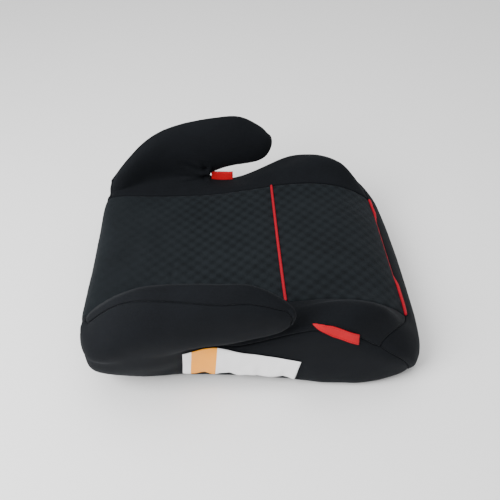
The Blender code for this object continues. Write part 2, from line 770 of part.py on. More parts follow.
def build():
    clear_scene()
    parts, cutters = make_collections()
    materials = {name: make_material(name) for name in COLOURS}
    skin = Skin(smooth_skin(cutters))
    loop = hem_loop(skin)

    plastic = materials["base_plastic"]
    base_shell(skin, loop, parts, cutters, plastic)
    armrest_core("armrest_core_left", skin, loop, 1, parts, cutters, plastic)
    armrest_core("armrest_core_right", skin, loop, -1, parts, cutters, plastic)
    for side, hand in ((1, "left"), (-1, "right")):
        for y, place in zip(SCREW_YS, ("front", "rear")):
            name = "armrest_screw_" + hand + "_" + place
            screw(name, side, y, parts, materials["screw_steel"])

    foam_top = COVER_THICKNESS + 2.0 * LAYER_GAP
    foam_bottom = CORE_DEPTH - 3.0 * LAYER_GAP
    foams = {"seat_foam": (SEAT_REAR, SEAT_FRONT, FRONT, BACK),
             "bolster_foam_left": (BOLSTER_LEFT, SIDE_LEFT),
             "bolster_foam_right": (BOLSTER_RIGHT, SIDE_RIGHT)}
    for name, wanted in foams.items():
        mesh = layer_mesh(name, skin, wanted, foam_top, foam_bottom, 0.0, FOAM_GAP)
        add_object(name, mesh, parts, materials["foam_grey"])

    for panel, name in enumerate(PANELS):
        mesh = layer_mesh(name, skin, [panel], 0.0, COVER_THICKNESS, SEAM_SINK, PANEL_GAP)
        slot = "centre_fabric" if panel in (SEAT_REAR, SEAT_FRONT) else "trim_fabric"
        add_object(name, mesh, parts, materials[slot])

    red = materials["red_piping"]
    points = seam_points(skin, SEAT_REAR, SEAT_FRONT)
    add_object("piping_seat", tube_mesh("piping_seat", points, PIPING_RADIUS, 2, False), parts, red)
    points = seam_points(skin, SEAT_FRONT, FRONT)
    add_object("piping_front", tube_mesh("piping_front", points, PIPING_RADIUS, 2, False), parts, red)

    belt_guide("belt_guide_left", skin, 1, parts, materials["red_tag"])
    belt_guide("belt_guide_right", skin, -1, parts, materials["red_tag"])
    tape = materials["red_tag"]
    side_plate("side_tag", skin, TAG_CORNERS, (6, 2), TAG_THICKNESS, parts, tape)
    satin = materials["label_white"]
    side_plate("instruction_label", skin, LABEL_CORNERS, (12, 3), LABEL_THICKNESS, parts, satin)

    dark = materials["hem_black"]
    points = inset_loop(skin, loop, HEM_INSET, BINDING_HEIGHT)
    add_object("hem_binding", tube_mesh("hem_binding", points, CORD_RADIUS, 1, True), parts, dark)
    points = inset_loop(skin, loop, HEM_INSET, ELASTIC_HEIGHT)
    add_object("hem_elastic", tube_mesh("hem_elastic", points, CORD_RADIUS, 1, True), parts, dark)

    for item in parts.objects:
        item.data.transform(Matrix.Translation((0.0, CENTRING_SHIFT_Y, 0.0)))
    for mesh in list(bpy.data.meshes):
        if mesh.users == 0:
            bpy.data.meshes.remove(mesh)


build()
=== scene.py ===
import bpy
import bmesh
import math
import numpy as np
from mathutils import Matrix, Vector, noise
from mathutils.bvhtree import BVHTree
from mathutils.kdtree import KDTree


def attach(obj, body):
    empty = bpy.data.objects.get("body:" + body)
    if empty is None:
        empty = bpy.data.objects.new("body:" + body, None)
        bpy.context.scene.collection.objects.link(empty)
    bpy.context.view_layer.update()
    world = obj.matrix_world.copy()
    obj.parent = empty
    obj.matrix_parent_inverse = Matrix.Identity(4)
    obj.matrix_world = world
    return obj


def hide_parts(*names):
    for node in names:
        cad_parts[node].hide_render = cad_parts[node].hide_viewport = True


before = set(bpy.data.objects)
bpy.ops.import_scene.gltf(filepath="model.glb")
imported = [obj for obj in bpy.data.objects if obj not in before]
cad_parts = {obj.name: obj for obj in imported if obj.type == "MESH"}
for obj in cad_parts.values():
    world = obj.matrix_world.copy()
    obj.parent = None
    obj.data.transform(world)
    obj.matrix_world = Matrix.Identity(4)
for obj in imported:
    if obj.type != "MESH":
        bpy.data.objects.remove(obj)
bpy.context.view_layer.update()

# ---------------------------------------------------------------- cover blank
# The cover as it lies over the foam, before it is cut into its panels. Rows
# run from the front edge to the rear edge of the left half, in millimetres,
# and a smooth surface is drawn through them and mirrored.
MM = 0.001
CENTRING_SHIFT_Y = 0.0034
FIT_PASSES = 4
FIT_STEP = 0.8
PUFF_START = 0.0004
PUFF_CAP = 0.0030
PUFF_PRESSURE = 4.0
PUFF_FRAMES = 20
EASE_PASSES = 10
EASE_SHARE = 0.6
CENTRE = [(0, -196, 73), (0, -168, 91), (0, -126, 99), (0, -83, 100),
          (0, -43, 98), (0, -9, 94), (0, 21, 90), (0, 51, 87),
          (0, 96, 86), (0, 147, 87), (0, 199, 86)]
SEAT_MID = [(64, -196, 72), (64, -168, 91), (64, -126, 100), (64, -83, 102),
            (64, -43, 100), (64, -9, 95), (64, 21, 91), (64, 51, 88),
            (64, 96, 87), (64, 147, 88), (64, 199, 88)]
SEAT_SEAM = [(121, -196, 70), (121, -168, 90), (121, -126, 103),
             (121, -83, 106), (121, -43, 103), (121, -9, 98),
             (121, 21, 94), (121, 51, 91), (121, 96, 89),
             (121, 147, 90), (121, 200, 91)]
CREST_IN = [(151, -181, 86), (144, -160, 111), (144, -120, 126),
            (143, -82, 121), (142, -43, 109), (143, -9, 98),
            (146, 23, 91), (151, 58, 96), (150, 97, 102),
            (143, 149, 101), (130, 201, 89)]
CREST_OUT = [(168, -163, 89), (163, -150, 114), (165, -115, 127),
             (163, -79, 120), (159, -41, 108), (158, -7, 96),
             (160, 23, 89), (175, 58, 96), (190, 97, 90),
             (189, 146, 82), (177, 191, 75)]
SIDE_SEAM = [(178, -149, 79), (180, -134, 91), (181, -109, 106),
             (179, -73, 113), (175, -40, 101), (172, -7, 87),
             (171, 23, 79), (170, 54, 77), (182, 97, 66),
             (185, 148, 61), (175, 192, 58)]
SIDE_MID = [(176, -185, 49), (182, -146, 51), (181, -110, 52),
            (177, -74, 52), (172, -39, 51), (168, -6, 49),
            (166, 23, 46), (164, 54, 44), (169, 97, 41),
            (173, 147, 38), (166, 187, 36)]
HEM_OUT = [(161, -198, 11), (174, -156, 9), (175, -112, 8), (170, -75, 8),
           (164, -39, 8), (159, -6, 8), (157, 23, 8), (155, 54, 8),
           (153, 98, 8), (153, 145, 9), (142, 178, 10)]
HEM_IN = [(149, -188, 3), (162, -152, 3), (160, -110, 3), (155, -74, 3),
          (150, -39, 3), (145, -6, 3), (142, 23, 3), (140, 54, 3),
          (138, 97, 3), (136, 142, 3), (129, 168, 3)]
REST_IN_LOW = [(171, -42, 143), (162, -7, 150), (157, 24, 147),
               (153, 56, 140), (150, 97, 132), (144, 149, 120),
               (134, 200, 95)]
REST_IN_TOP = [(175, -39, 157), (171, -6, 177), (167, 26, 179),
               (162, 58, 176), (154, 98, 167), (143, 149, 146),
               (140, 197, 104)]
REST_CREST = [(183, -37, 162), (182, -5, 185), (179, 28, 188),
              (174, 61, 186), (166, 101, 178), (155, 149, 155),
              (145, 193, 110)]
REST_SEAM = [(189, -38, 155), (191, -4, 170), (191, 28, 170),
             (188, 60, 172), (181, 100, 171), (166, 148, 154),
             (153, 190, 112)]
REST_OUT = [(189, -44, 145), (196, -4, 152), (198, 26, 150),
            (199, 57, 146), (199, 98, 138), (193, 146, 126),
            (178, 188, 99)]
REST_OUT_LOW = [(187, -42, 129), (193, -2, 122), (196, 26, 117),
                (196, 56, 112), (197, 97, 106), (193, 145, 98),
                (184, 190, 82)]
HORN_UNDER_IN = [(169, -33, 118), (162, -3, 115), (159, 28, 110)]
HORN_UNDER_OUT = [(180, -33, 116), (183, -1, 111), (184, 28, 107)]
REAR_WALL = [[(0, 211, 62), (0, 214, 38), (0, 207, 9), (0, 193, 3)],
             [(64, 211, 62), (64, 213, 38), (64, 206, 9), (64, 192, 3)],
             [(120, 208, 62), (118, 209, 37), (114, 203, 9), (109, 189, 3)],
             [(149, 200, 61), (145, 201, 37), (135, 195, 9), (125, 181, 3)]]
FRONT_WALL = [[(0, -219, 45), (0, -217, 10), (0, -203, 3)],
              [(64, -218, 45), (64, -216, 10), (64, -202, 3)],
              [(120, -215, 46), (118, -214, 10), (114, -201, 3)],
              [(149, -210, 47), (143, -212, 10), (134, -199, 3)],
              [(166, -200, 48), (154, -206, 12), (143, -194, 3)]]
SEAT_REAR, SEAT_FRONT, FRONT, BACK = 0, 1, 2, 3
BOLSTER_LEFT, BOLSTER_RIGHT, SIDE_LEFT, SIDE_RIGHT = 4, 5, 6, 7


def pattern_points():
    points = {}
    long_rows = {"A": CENTRE, "B": SEAT_MID, "C": SEAT_SEAM, "D": CREST_IN,
                 "K": CREST_OUT, "E": SIDE_SEAM, "G": SIDE_MID,
                 "H": HEM_OUT, "I": HEM_IN}
    for name, row in long_rows.items():
        for station, point in enumerate(row):
            points[(name, station)] = point
    armrest_rows = {"M": REST_IN_LOW, "N": REST_IN_TOP, "O": REST_CREST,
                    "P": REST_SEAM, "Q": REST_OUT, "R": REST_OUT_LOW,
                    "U": HORN_UNDER_IN, "V": HORN_UNDER_OUT}
    for name, row in armrest_rows.items():
        for station, point in enumerate(row):
            points[(name, station + 4)] = point
    for column, wall in zip("ABCD", REAR_WALL):
        for level, point in enumerate(wall):
            points[("back" + column, level)] = point
    for column, wall in zip("ABCDK", FRONT_WALL):
        for level, point in enumerate(wall):
            points[("front" + column, level)] = point
    return points


def pattern_strip(faces, panel, first, second, start, stop):
    for j in range(start, stop):
        ring = ((first, j), (second, j), (second, j + 1), (first, j + 1))
        faces.append((panel, ring))


def rear_panel(level, column):
    if column > 1:
        return SIDE_LEFT
    return SEAT_REAR if level == 0 else BACK


def front_panel(level, column):
    return FRONT


def pattern_wall(faces, panel_at, top, columns, side, corners):
    rows = [top]
    for level, corner in enumerate(corners):
        rows.append([(side + column, level) for column in columns] + [corner])
    for level in range(len(corners)):
        upper, lower = rows[level], rows[level + 1]
        for i in range(len(columns)):
            ring = (upper[i], upper[i + 1], lower[i + 1], lower[i])
            faces.append((panel_at(level, i), ring))


def pattern_faces():
    faces = []
    for first, second in (("A", "B"), ("B", "C")):
        pattern_strip(faces, SEAT_FRONT, first, second, 0, 4)
        pattern_strip(faces, SEAT_REAR, first, second, 4, 10)
    pattern_strip(faces, BOLSTER_LEFT, "C", "D", 0, 10)
    pattern_strip(faces, BOLSTER_LEFT, "D", "K", 0, 7)
    pattern_strip(faces, BOLSTER_LEFT, "K", "E", 0, 7)
    pattern_strip(faces, SIDE_LEFT, "K", "E", 7, 10)
    for first, second in (("E", "G"), ("G", "H"), ("H", "I")):
        pattern_strip(faces, SIDE_LEFT, first, second, 0, 10)
    pattern_strip(faces, BOLSTER_LEFT, "D", "M", 7, 10)
    for first, second in (("M", "N"), ("N", "O"), ("O", "P")):
        pattern_strip(faces, BOLSTER_LEFT, first, second, 4, 10)
    for first, second in (("P", "Q"), ("Q", "R")):
        pattern_strip(faces, SIDE_LEFT, first, second, 4, 10)
    pattern_strip(faces, SIDE_LEFT, "R", "K", 7, 10)
    pattern_strip(faces, BOLSTER_LEFT, "V", "U", 4, 6)
    pattern_strip(faces, BOLSTER_LEFT, "U", "M", 4, 6)
    pattern_strip(faces, SIDE_LEFT, "R", "V", 4, 6)
    faces.append((BOLSTER_LEFT, (("V", 6), ("U", 6), ("D", 7), ("K", 7))))
    faces.append((BOLSTER_LEFT, (("U", 6), ("M", 6), ("M", 7), ("D", 7))))
    faces.append((SIDE_LEFT, (("R", 6), ("V", 6), ("K", 7), ("R", 7))))
    faces.append((BOLSTER_LEFT, (("U", 4), ("V", 4), ("R", 4), ("M", 4))))
    faces.append((BOLSTER_LEFT, (("M", 4), ("R", 4), ("Q", 4), ("N", 4))))
    faces.append((BOLSTER_LEFT, (("N", 4), ("Q", 4), ("P", 4), ("O", 4))))
    faces.append((SIDE_LEFT, (("D", 10), ("M", 10), ("R", 10), ("K", 10))))
    faces.append((SIDE_LEFT, (("M", 10), ("N", 10), ("Q", 10), ("R", 10))))
    faces.append((SIDE_LEFT, (("N", 10), ("O", 10), ("P", 10), ("Q", 10))))
    top = [("A", 10), ("B", 10), ("C", 10), ("D", 10), ("K", 10)]
    edge = (("E", 10), ("G", 10), ("H", 10), ("I", 10))
    pattern_wall(faces, rear_panel, top, "ABCD", "back", edge)
    top = [("A", 0), ("B", 0), ("C", 0), ("D", 0), ("K", 0), ("E", 0)]
    edge = (("G", 0), ("H", 0), ("I", 0))
    pattern_wall(faces, front_panel, top, "ABCDK", "front", edge)
    return faces


def link(name, mesh):
    piece = bpy.data.objects.new(name, mesh)
    bpy.context.scene.collection.objects.link(piece)
    return piece


def pick(piece):
    bpy.ops.object.select_all(action="DESELECT")
    piece.select_set(True)
    bpy.context.view_layer.objects.active = piece


def finish_modifiers(piece):
    pick(piece)
    for modifier in list(piece.modifiers):
        bpy.ops.object.modifier_apply(modifier=modifier.name)


def read_points(mesh):
    values = np.empty(len(mesh.vertices) * 3)
    mesh.vertices.foreach_get("co", values)
    return values.reshape(-1, 3)


def read_normals(mesh):
    values = np.empty(len(mesh.vertices) * 3)
    mesh.vertices.foreach_get("normal", values)
    return values.reshape(-1, 3)


def write_points(mesh, values):
    mesh.vertices.foreach_set("co", np.ascontiguousarray(values).ravel())
    mesh.update()


def cut_blank():
    points = pattern_points()
    work = bmesh.new()
    left, right = {}, {}
    for key, point in points.items():
        place = Vector(point) * MM + Vector((0.0, CENTRING_SHIFT_Y, 0.0))
        left[key] = work.verts.new(place)
        if point[0] == 0:
            right[key] = left[key]
        else:
            right[key] = work.verts.new((-place.x, place.y, place.z))
    for panel, ring in pattern_faces():
        face = work.faces.new([left[key] for key in ring])
        face.material_index = panel
        face = work.faces.new([right[key] for key in reversed(ring)])
        face.material_index = panel + 1 if panel in (BOLSTER_LEFT, SIDE_LEFT) else panel
    bmesh.ops.recalc_face_normals(work, faces=work.faces)
    mesh = bpy.data.meshes.new("cover_blank")
    work.to_mesh(mesh)
    work.free()
    return link("cover_blank", mesh)


def smooth_blank(blank, levels):
    modifier = blank.modifiers.new("smooth", "SUBSURF")
    modifier.levels = levels
    modifier.render_levels = levels
    targets = read_points(blank.data)
    points = targets.copy()
    for _ in range(FIT_PASSES):
        graph = bpy.context.evaluated_depsgraph_get()
        result = blank.evaluated_get(graph).data
        error = targets - read_points(result)[:len(targets)]
        points = points + error * FIT_STEP
        write_points(blank.data, points)
        bpy.context.view_layer.update()
    finish_modifiers(blank)


def seam_vertices(mesh):
    owners = {}
    for face in mesh.polygons:
        for key in face.edge_keys:
            owners.setdefault(key, []).append(face.material_index)
    seams, hem = set(), set()
    for key, panels in owners.items():
        if len(panels) == 1:
            hem.update(key)
        elif panels[0] != panels[1]:
            seams.update(key)
    return seams, hem


def puff_blank(blank):
    mesh = blank.data
    start = read_points(mesh) - read_normals(mesh) * PUFF_START
    write_points(mesh, start)
    seams, hem = seam_vertices(mesh)
    pins = blank.vertex_groups.new(name="sewn")
    pins.add(sorted(seams | hem), 1.0, "REPLACE")
    cloth = blank.modifiers.new("puff", "CLOTH")
    cloth.settings.vertex_group_mass = "sewn"
    cloth.settings.use_pressure = True
    cloth.settings.uniform_pressure_force = PUFF_PRESSURE
    cloth.settings.effector_weights.gravity = 0.0
    cloth.settings.quality = 5
    cloth.settings.tension_stiffness = 20.0
    cloth.settings.compression_stiffness = 20.0
    cloth.settings.bending_stiffness = 1.5
    cloth.collision_settings.use_collision = False
    scene = bpy.context.scene
    for step in range(1, PUFF_FRAMES + 1):
        scene.frame_set(step)
    graph = bpy.context.evaluated_depsgraph_get()
    puffed = read_points(blank.evaluated_get(graph).data)
    blank.modifiers.clear()
    blank.vertex_groups.clear()
    scene.frame_set(1)
    move = puffed - start
    size = np.linalg.norm(move, axis=1, keepdims=True) + 1e-9
    capped = move / size * PUFF_CAP * np.tanh(size / PUFF_CAP)
    links = np.array([edge.vertices[:] for edge in mesh.edges])
    count = np.bincount(links.ravel(), minlength=len(start))[:, None]
    held = np.array(sorted(seams | hem))
    for _ in range(EASE_PASSES):
        total = np.zeros_like(capped)
        np.add.at(total, links[:, 0], capped[links[:, 1]])
        np.add.at(total, links[:, 1], capped[links[:, 0]])
        capped = capped * (1.0 - EASE_SHARE) + total / count * EASE_SHARE
        capped[held] = 0.0
    write_points(mesh, start + capped)


blank = cut_blank()
smooth_blank(blank, 3)
puff_blank(blank)
soft = blank.modifiers.new("soft", "SUBSURF")
soft.levels = 1
soft.render_levels = 1
finish_modifiers(blank)


# ---------------------------------------------------------- seams and creases
# Every panel dips where it is sewn to the next one, a little unevenly where
# the thread gathers it. Tight creases fan back over the inside of each armrest
# from the root of the belt slot, and the hem is gathered by its elastic.
SEAM_DIP = 0.0009
SEAM_REACH = 0.0060
SEAM_GATHER = (0.45, 70.0)
WIDE_LUMPS = (0.00045, 28.0)
FINE_LUMPS = (0.00022, 75.0)
HEM_TOP = 0.030
HEM_GATHER = (0.0010, 55.0)
CREASE_DEPTH = 0.0034
CREASES = [((0.1522, 0.0581, 0.1104), (0.1507, 0.1010, 0.1300), 0.0034),
           ((0.1535, 0.0590, 0.1000), (0.1504, 0.1080, 0.1040), 0.0030),
           ((0.1517, 0.0603, 0.0960), (0.1353, 0.1240, 0.0923), 0.0036),
           ((0.1530, 0.0570, 0.1150), (0.1580, 0.0760, 0.1430), 0.0036)]
TUCK = (0.1870, -0.0345, 0.1545)
TUCK_DEPTH = 0.0026
TUCK_REACH = 0.0075
DENT = ((-0.030, 0.0993, 0.0863), (-0.066, 0.1027, 0.0868))
DENT_DEPTH = 0.0019
DENT_WIDTH = 0.0032


def along_seams(mesh):
    owners = {}
    for face in mesh.polygons:
        for key in face.edge_keys:
            owners.setdefault(key, []).append(face.material_index)
    spots = []
    for (a, b), panels in owners.items():
        if len(panels) == 2 and panels[0] != panels[1]:
            first, second = mesh.vertices[a].co, mesh.vertices[b].co
            spots.append(first.copy())
            spots.append((first + second) / 2.0)
    tree = KDTree(len(spots))
    for index, spot in enumerate(spots):
        tree.insert(spot, index)
    tree.balance()
    return tree


def crease_pull(point):
    pull = 0.0
    spot = Vector((abs(point.x), point.y, point.z))
    for start, end, width in CREASES:
        first, last = Vector(start), Vector(end)
        run = last - first
        share = (spot - first).dot(run) / run.length_squared
        if share < -0.15 or share > 1.0:
            continue
        share = max(share, 0.0)
        away = (first + run * share - spot).length
        valley = math.exp(-(away / width) ** 2)
        ridge = math.exp(-((away - 2.0 * width) / width) ** 2)
        pull += (1.0 - share) ** 0.8 * (valley - 0.35 * ridge)
    return pull


def dent_pull(spot):
    first, last = Vector(DENT[0]), Vector(DENT[1])
    run = last - first
    share = min(max((spot - first).dot(run) / run.length_squared, 0.0), 1.0)
    away = (first.lerp(last, share) - spot).length
    return math.exp(-(away / DENT_WIDTH) ** 2)


def draw_in_seams(blank):
    mesh = blank.data
    tree = along_seams(mesh)
    points, normals = read_points(mesh), read_normals(mesh)
    move = np.zeros(len(points))
    for index, point in enumerate(points):
        spot = Vector(point)
        seam, _, away = tree.find(spot)
        gather = 1.0 + SEAM_GATHER[0] * noise.noise(seam * SEAM_GATHER[1])
        move[index] -= SEAM_DIP * gather * math.exp(-(away / SEAM_REACH) ** 2)
        for height, rate in (WIDE_LUMPS, FINE_LUMPS):
            move[index] += height * noise.noise(spot * rate)
        if abs(point[0]) > 0.130 and 0.03 < point[1] < 0.13:
            move[index] -= CREASE_DEPTH * crease_pull(spot)
        tuck = (Vector((abs(point[0]), point[1], point[2])) - Vector(TUCK)).length
        move[index] -= TUCK_DEPTH * math.exp(-(tuck / TUCK_REACH) ** 2)
        if abs(point[0] + 0.048) < 0.03 and abs(point[1] - 0.101) < 0.02:
            move[index] -= DENT_DEPTH * dent_pull(spot)
        if point[2] < HEM_TOP:
            rate = HEM_GATHER[1]
            gather = noise.noise(Vector((point[0] * rate, point[1] * rate, 3.0)))
            move[index] += HEM_GATHER[0] * gather * (1.0 - point[2] / HEM_TOP)
    write_points(mesh, points + normals * move[:, None])


draw_in_seams(blank)


# ------------------------------------------------------------------ foam pads
# Moulded grey foam between the plastic base and the cover: one pad over the
# seat, its front roll and its back, and one over each bolster and armrest.
FOAM_OUTER = 0.0048
FOAM_THICKNESS = 0.0026
FOAM_CELLS = 700.0
FOAM_DARK = (0.12, 0.12, 0.13, 1.0)
FOAM_LIGHT = (0.38, 0.38, 0.39, 1.0)


def new_material(name, roughness):
    material = bpy.data.materials.new(name)
    material.use_nodes = True
    shader = material.node_tree.nodes["Principled BSDF"]
    shader.inputs["Roughness"].default_value = roughness
    return material, shader


def object_place(material):
    return material.node_tree.nodes.new("ShaderNodeTexCoord").outputs["Object"]


def cell_texture(material, scale):
    cells = material.node_tree.nodes.new("ShaderNodeTexVoronoi")
    cells.inputs["Scale"].default_value = scale
    material.node_tree.links.new(object_place(material), cells.inputs["Vector"])
    return cells.outputs["Distance"]


def tint(material, source, dark, light, start=0.0, end=1.0):
    nodes, links = material.node_tree.nodes, material.node_tree.links
    ramp = nodes.new("ShaderNodeValToRGB")
    ramp.color_ramp.elements[0].position = start
    ramp.color_ramp.elements[0].color = dark
    ramp.color_ramp.elements[1].position = end
    ramp.color_ramp.elements[1].color = light
    links.new(source, ramp.inputs["Fac"])
    links.new(ramp.outputs["Color"], nodes["Principled BSDF"].inputs["Base Color"])


def emboss(material, height, strength, distance):
    nodes, links = material.node_tree.nodes, material.node_tree.links
    bump = nodes.new("ShaderNodeBump")
    bump.inputs["Strength"].default_value = strength
    bump.inputs["Distance"].default_value = distance
    links.new(height, bump.inputs["Height"])
    links.new(bump.outputs["Normal"], nodes["Principled BSDF"].inputs["Normal"])


def foam_material():
    material, _ = new_material("pad_foam", 0.95)
    cells = cell_texture(material, FOAM_CELLS)
    tint(material, cells, FOAM_DARK, FOAM_LIGHT)
    emboss(material, cells, 0.4, 0.0006)
    return material


def panel_copy(name, panels):
    piece = link(name, blank.data.copy())
    work = bmesh.new()
    work.from_mesh(piece.data)
    spare = [face for face in work.faces if face.material_index not in panels]
    bmesh.ops.delete(work, geom=spare, context="FACES")
    for face in work.faces:
        face.material_index = 0
        face.smooth = True
    work.to_mesh(piece.data)
    work.free()
    piece.data.materials.clear()
    return piece


pad_foam = foam_material()
foam_pads = {"seat_pad": ("seat_foam", (SEAT_REAR, SEAT_FRONT, FRONT, BACK)),
             "bolster_pad_left": ("bolster_foam_left", (BOLSTER_LEFT, SIDE_LEFT)),
             "bolster_pad_right": ("bolster_foam_right", (BOLSTER_RIGHT, SIDE_RIGHT))}
for name, (node, panels) in foam_pads.items():
    pad = panel_copy(name, panels)
    write_points(pad.data, read_points(pad.data) - read_normals(pad.data) * FOAM_OUTER)
    wall = pad.modifiers.new("thickness", "SOLIDIFY")
    wall.thickness = FOAM_THICKNESS
    wall.offset = -1.0
    finish_modifiers(pad)
    pad.data.materials.append(pad_foam)
    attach(pad, "root")
    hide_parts(node)


# ------------------------------------------------------------------ cover cloth
# Two black polyester cloths: a slate one for the middle of the seat, pressed
# with small checks, and a plainer, darker one for everything round it. Both
# have a fine plain weave, some lint and a soft nap. Shade is also painted over
# the slate cloth's pressed checks: the sunken squares are painted darker and
# the raised ones lighter.
WEAVE_PITCH = 0.0011
CHECK = 0.0094
# How strongly painted shade and painted highlight are laid over the pressed checks.
CHECK_PAINTED_SHADE = 0.30
LINT_SCALE = 900.0
CLOUD_SCALE = 22.0
SEAT_DARK = (0.0023, 0.0032, 0.0039, 1.0)
SEAT_LIGHT = (0.0098, 0.0125, 0.0148, 1.0)
TRIM_DARK = (0.0021, 0.0025, 0.0033, 1.0)
TRIM_LIGHT = (0.0062, 0.0072, 0.0090, 1.0)
SHEEN_TINT = (0.80, 0.88, 1.0, 1.0)


def combine(material, operation, *sources):
    node = material.node_tree.nodes.new("ShaderNodeMath")
    node.operation = operation
    for socket, source in zip(node.inputs, sources):
        if isinstance(source, float):
            socket.default_value = source
        else:
            material.node_tree.links.new(source, socket)
    return node.outputs["Value"]


def split(material, vector):
    node = material.node_tree.nodes.new("ShaderNodeSeparateXYZ")
    material.node_tree.links.new(vector, node.inputs["Vector"])
    return node.outputs


def attribute(material, name):
    node = material.node_tree.nodes.new("ShaderNodeAttribute")
    node.attribute_name = name
    return node.outputs["Fac"]


def noise_texture(material, scale, detail):
    node = material.node_tree.nodes.new("ShaderNodeTexNoise")
    node.inputs["Scale"].default_value = scale
    node.inputs["Detail"].default_value = detail
    material.node_tree.links.new(object_place(material), node.inputs["Vector"])
    return node.outputs["Fac"]


def stretch(material, source, start, end, low=0.0, high=1.0):
    node = material.node_tree.nodes.new("ShaderNodeMapRange")
    for name, value in (("From Min", start), ("From Max", end), ("To Min", low), ("To Max", high)):
        node.inputs[name].default_value = value
    material.node_tree.links.new(source, node.inputs["Value"])
    return node.outputs["Result"]


def weave_height(material, pitch):
    nodes, links = material.node_tree.nodes, material.node_tree.links
    turns = nodes.new("ShaderNodeVectorMath")
    turns.operation = "SCALE"
    turns.inputs["Scale"].default_value = 2.0 * math.pi / pitch
    links.new(object_place(material), turns.inputs[0])
    place = split(material, turns.outputs["Vector"])
    facing = split(material, nodes.new("ShaderNodeNewGeometry").outputs["Normal"])
    waves = {axis: combine(material, "SINE", place[axis]) for axis in "XYZ"}
    total = 0.0
    for axis, (first, second) in (("X", "YZ"), ("Y", "XZ"), ("Z", "XY")):
        cross = combine(material, "MULTIPLY", waves[first], waves[second])
        share = combine(material, "MULTIPLY", facing[axis], facing[axis])
        part = combine(material, "MULTIPLY", cross, share)
        total = combine(material, "ADD", total, part)
    return total


# Painted shade and highlight for the pressed checks. It uses the same wave as the pressing, darker
# where the squares sink and lighter where they rise, and fainter towards the rear.
def painted_check_shade(material):
    product = attribute(material, "fade")
    across = split(material, object_place(material))["X"]
    for source in (across, attribute(material, "run")):
        turns = combine(material, "MULTIPLY", source, math.pi / CHECK)
        wave = combine(material, "SINE", turns)
        product = combine(material, "MULTIPLY", wave, product)
    return product


def cloth_material(name, dark, light, sheen, weave_depth, check_shade):
    material, shader = new_material(name, 0.88)
    shader.inputs["Specular IOR Level"].default_value = 0.08
    shader.inputs["Sheen Weight"].default_value = sheen
    shader.inputs["Sheen Roughness"].default_value = 0.45
    shader.inputs["Sheen Tint"].default_value = SHEEN_TINT
    weave = weave_height(material, WEAVE_PITCH)
    lint = noise_texture(material, LINT_SCALE, 3.0)
    cloud = noise_texture(material, CLOUD_SCALE, 4.0)
    height = combine(material, "MULTIPLY_ADD", weave, 0.35, lint)
    tone = stretch(material, height, 0.15, 0.95)
    tone = combine(material, "MULTIPLY_ADD", cloud, 0.55, tone)
    # Painted check shade: sunken squares darker, raised squares lighter.
    if check_shade > 0.0:
        tone = combine(material, "MULTIPLY_ADD", painted_check_shade(material), check_shade, tone)
    tint(material, tone, dark, light, 0.20, 1.0)
    emboss(material, height, 0.55, weave_depth)
    return material


# The slate cloth gets painted shade on its checks; the plain cloth gets none.
seat_cloth = cloth_material("slate_check_cloth", SEAT_DARK, SEAT_LIGHT, 0.026, 0.0004, CHECK_PAINTED_SHADE)
trim_cloth = cloth_material("dark_plain_cloth", TRIM_DARK, TRIM_LIGHT, 0.018, 0.0003, 0.0)


# ----------------------------------------------------------------- seat panels
# The middle of the seat is two panels with piping between them. Each edge is
# folded under and sewn.
CLOTH_THICKNESS = 0.0012
FOLD_DROP = 0.0013
CHECK_DEPTH = 0.00020
PIPING_STATION = 4
CHECK_FADE_END = 0.215
CHECK_FADE_RUN = 0.110
CHECK_FAINTEST = 0.20


def fold_edges(piece, drop):
    mesh = piece.data
    uses = {}
    for face in mesh.polygons:
        for key in face.edge_keys:
            uses[key] = uses.get(key, 0) + 1
    border = sorted({index for key, times in uses.items() if times == 1 for index in key})
    points, normals = read_points(mesh), read_normals(mesh)
    points[border] -= normals[border] * drop
    write_points(mesh, points)


def thicken(piece):
    wall = piece.modifiers.new("cloth", "SOLIDIFY")
    wall.thickness = CLOTH_THICKNESS
    wall.offset = -1.0
    wall.use_even_offset = False
    finish_modifiers(piece)
    for face in piece.data.polygons:
        face.use_smooth = True


def cloth_area(piece):
    return sum(face.area for face in piece.data.polygons)


def cloth_run(points):
    rows = CENTRE + REAR_WALL[0][:2]
    line = np.array([(y * MM + CENTRING_SHIFT_Y, z * MM) for _, y, z in rows])
    steps = np.diff(line, axis=0)
    lengths = np.hypot(steps[:, 0], steps[:, 1])
    starts = np.concatenate([[0.0], np.cumsum(lengths)])
    best = np.full(len(points), 9.0)
    run = np.zeros(len(points))
    for index, step in enumerate(steps):
        offset = points[:, 1:] - line[index]
        share = np.clip(offset @ step / lengths[index] ** 2, 0.0, 1.0)
        away = np.linalg.norm(offset - share[:, None] * step, axis=1)
        closer = away < best
        best[closer] = away[closer]
        run[closer] = starts[index] + share[closer] * lengths[index]
    return run - starts[PIPING_STATION]


def note_on_points(mesh, name, values):
    layer = mesh.attributes.new(name, "FLOAT", "POINT")
    layer.data.foreach_set("value", np.array(values, dtype=np.float32))


def press_checks(piece):
    mesh = piece.data
    points, normals = read_points(mesh), read_normals(mesh)
    run = cloth_run(points)
    square = np.sin(math.pi * run / CHECK) * np.sin(math.pi * points[:, 0] / CHECK)
    fade = np.clip((CHECK_FADE_END - run) / CHECK_FADE_RUN, 0.0, 1.0)
    fade = CHECK_FAINTEST + (1.0 - CHECK_FAINTEST) * fade
    write_points(mesh, points + normals * (square * fade * CHECK_DEPTH)[:, None])
    note_on_points(mesh, "run", run)
    note_on_points(mesh, "fade", fade)


def hold_cover(piece, node):
    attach(piece, "root")
    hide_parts(node)


